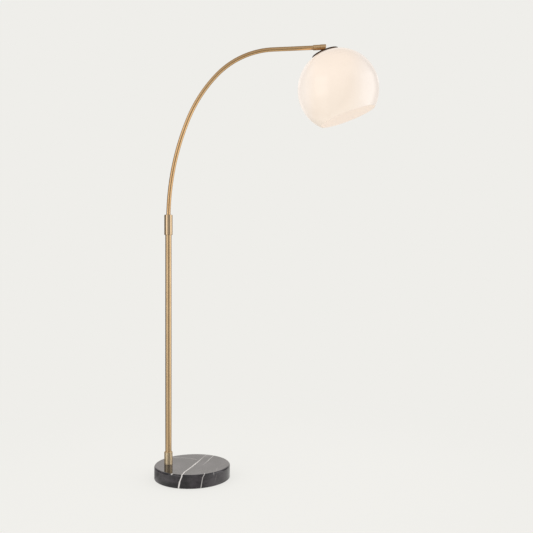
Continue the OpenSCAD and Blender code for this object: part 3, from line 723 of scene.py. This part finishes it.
PALE = tint(239, 238, 234)
FLOOR_LIT = (0.90, 0.90, 0.88, 1.0)
FLOOR_SINK = 0.0004  # how far the floor lies under the felt
FLOOR_REACH = 14.0
FLOOR_POINTS = 15  # along each side
LIT_ROUND = (0.15, 0.0, 0.0)  # the middle of the floor's lit part
FACING_SHIFT = (0.04, 0.0, 0.0)  # brings the point that directions start from to the origin
TO_LEFT_BOX = (-0.81, -0.59)  # the way over the floor to the left soft box
SKY = (1.0, 0.985, 0.96, 1.0)
SKY_LEVEL = 0.74
LAMP_WHITE = (1.0, 0.995, 0.99)
AIM_X, AIM_Z = 0.2, 0.8  # what the soft boxes face

EYE = (0.2762, -2.569, 0.7847)
LENS_MM, SENSOR_MM = 46.6, 36.0
CLIP_START, CLIP_END = 0.05, 60.0


def surroundings(f, x, y, z):
    """How bright the studio looks in a direction, as metal and glass see it. Behind the object it
    is pale, dimmer at the sides, with a thin brighter glow a little over the horizon. Towards the
    camera's side it is half as bright, brighter at the right and dim at the far left and overhead,
    with one dark opening to the camera's right."""
    opening = f.smooth(abs(x - 0.46), 0.09, 0.21, 1.0, 0.0) * f.smooth(y, -0.6, -0.3, 1.0, 0.0)
    opening = opening * f.smooth(abs(z), 0.25, 0.55, 1.0, 0.0)
    sides = f.smooth(x, 0.55, 0.9, 0.0, 0.22) - f.smooth(x, -0.97, -0.75, 0.36, 0.0)
    above = f.smooth(z, 0.22, 0.6, 0.0, 0.12) - f.smooth(z, 0.62, 0.92, 0.0, 0.28)
    front = 0.50 - 0.40 * opening + sides + above
    wings = f.smooth(abs(x), 0.45, 0.62, 1.0, 0.45).larger(f.smooth(y, 0.30, 0.42, 1.0, 0.0))
    glow = f.smooth(z, 0.265, 0.290, 0.94, 1.24) - f.smooth(z, 0.296, 0.35, 0.0, 0.26)
    backdrop = f.smooth(y, 0.50, 0.88) * glow
    return wings * (front * f.smooth(y, 0.50, 0.88, 1.0, 0.0) + backdrop)


def studio_floor():
    """A wide level sheet. Near the object a share of it is lit, so that the object's soft shadow
    shows, and the rest glows as pale as the backdrop. In reflections it is about as bright as what
    lies beyond it, the studio or a soft box, and dimmer far behind the object."""
    reach = np.linspace(-FLOOR_REACH, FLOOR_REACH, FLOOR_POINTS)
    gx, gy = np.meshgrid(reach, reach)
    i, j = np.meshgrid(np.arange(FLOOR_POINTS - 1), np.arange(FLOOR_POINTS - 1))
    at = (j * FLOOR_POINTS + i).ravel()
    mesh = bpy.data.meshes.new("studio_floor")
    mesh.from_pydata(
        np.stack([gx, gy, 0.0 * gx - FLOOR_SINK], -1).reshape(-1, 3).tolist(), [],
        np.stack([at, at + 1, at + FLOOR_POINTS + 1, at + FLOOR_POINTS], -1).tolist(),
    )
    floor = bpy.data.objects.new("studio_floor", mesh)
    bpy.context.scene.collection.objects.link(floor)
    material = bpy.data.materials.new("studio_floor")
    material.use_nodes = True
    f = Sheet(material.node_tree)
    f.tree.nodes.clear()
    place = f.node("ShaderNodeTexCoord", out="Object")
    away = f.vector("DISTANCE", place, LIT_ROUND)
    moved = {0: f.placed(place, move=FACING_SHIFT)}
    x, y, z = f.parts(f.node("ShaderNodeVectorMath", {"operation": "NORMALIZE"}, moved))
    to_left = TO_LEFT_BOX[0] * x + TO_LEFT_BOX[1] * y
    left_box = f.smooth(to_left, 0.86, 0.95, 0.0, 0.45)
    right_box = f.smooth(x, 0.66, 0.82, 0.0, 0.50)
    beyond = surroundings(f, x, y, z) + (left_box + right_box)
    behind = f.smooth(away, 0.5, 1.8, 0.0, 0.30) * f.smooth(y, 0.3, 0.7)
    mirrored = f.node("ShaderNodeLightPath", out="Is Glossy Ray")
    dim = mirrored * (0.90 - 0.72 * beyond + behind)
    share = f.smooth(away, 0.35, 1.5, 0.25, 0.0)
    level = (1.0 - 0.80 * share) / (1.0 - share)
    lit = f.node("ShaderNodeBsdfDiffuse", None, {"Color": FLOOR_LIT})
    glow = f.node("ShaderNodeEmission", None, {"Color": (*PALE, 1.0), "Strength": level - dim})
    both = f.node("ShaderNodeMixShader", None, {0: share, 1: glow, 2: lit})
    f.link(both, f.tree.nodes.new("ShaderNodeOutputMaterial"), "Surface")
    mesh.materials.append(material)


def studio_world():
    """Pale all round to the eye. Metal and glass see the surroundings instead, a little warmer
    behind the object, and as a light it is an even sky."""
    world = bpy.data.worlds.new("studio")
    bpy.context.scene.world = world
    world.use_nodes = True
    f = Sheet(world.node_tree)
    f.tree.nodes.clear()
    x, y, z = f.parts(f.node("ShaderNodeTexCoord", out="Generated"))
    seen = f.node("ShaderNodeBackground", None, {"Color": (*PALE, 1.0)})
    sky = f.node("ShaderNodeBackground", None, {"Color": SKY, "Strength": SKY_LEVEL})
    cast = f.mix(f.smooth(y, 0.50, 0.88), (1.0, 1.0, 1.02), (1.0, 0.952, 0.912))
    level = surroundings(f, x, y, z)
    gloss = f.node("ShaderNodeBackground", None, {"Color": cast, "Strength": level})
    camera, glossy, through = (
        f.node("ShaderNodeLightPath", out=f"Is {kind} Ray")
        for kind in ("Camera", "Glossy", "Transmission")
    )
    first = f.node("ShaderNodeMixShader", None, {0: glossy.larger(through), 1: sky, 2: gloss})
    second = f.node("ShaderNodeMixShader", None, {0: camera, 1: first, 2: seen})
    f.link(second, f.tree.nodes.new("ShaderNodeOutputWorld"), "Surface")


def soft_box(name, bearing, away, height, width, tall, level):
    """A tall soft light. bearing is the angle in degrees from the camera's side towards +X, and
    level is how bright its face is: the power of a lamp of area A that shines with level L is
    pi A L."""
    lamp = bpy.data.lights.new(name, "AREA")
    lamp.shape, lamp.size, lamp.size_y = "RECTANGLE", width, tall
    lamp.energy = math.pi * width * tall * level
    lamp.color = LAMP_WHITE
    obj = bpy.data.objects.new(name, lamp)
    b = math.radians(bearing)
    obj.location = (AIM_X + away * math.sin(b), -away * math.cos(b), height)
    obj.rotation_euler = (math.pi / 2 - math.atan2(height - AIM_Z, away), 0.0, b)
    obj.visible_camera = False
    bpy.context.scene.collection.objects.link(obj)


studio_floor()
studio_world()
soft_box("soft_box_left", -50.0, away=2.9, height=1.3, width=2.3, tall=3.2, level=0.73)
soft_box("soft_box_right", 88.0, away=2.9, height=1.3, width=2.7, tall=3.2, level=0.60)

lens = bpy.data.cameras.new("camera")
lens.lens, lens.sensor_width, lens.sensor_fit = LENS_MM, SENSOR_MM, "HORIZONTAL"
lens.clip_start, lens.clip_end = CLIP_START, CLIP_END
eye = bpy.data.objects.new("camera", lens)
eye.location = EYE
eye.rotation_euler = (math.pi / 2, 0.0, 0.0)
bpy.context.scene.collection.objects.link(eye)
bpy.context.scene.camera = eye

bpy.context.scene.view_settings.view_transform = "Standard"

bpy.context.view_layer.update()
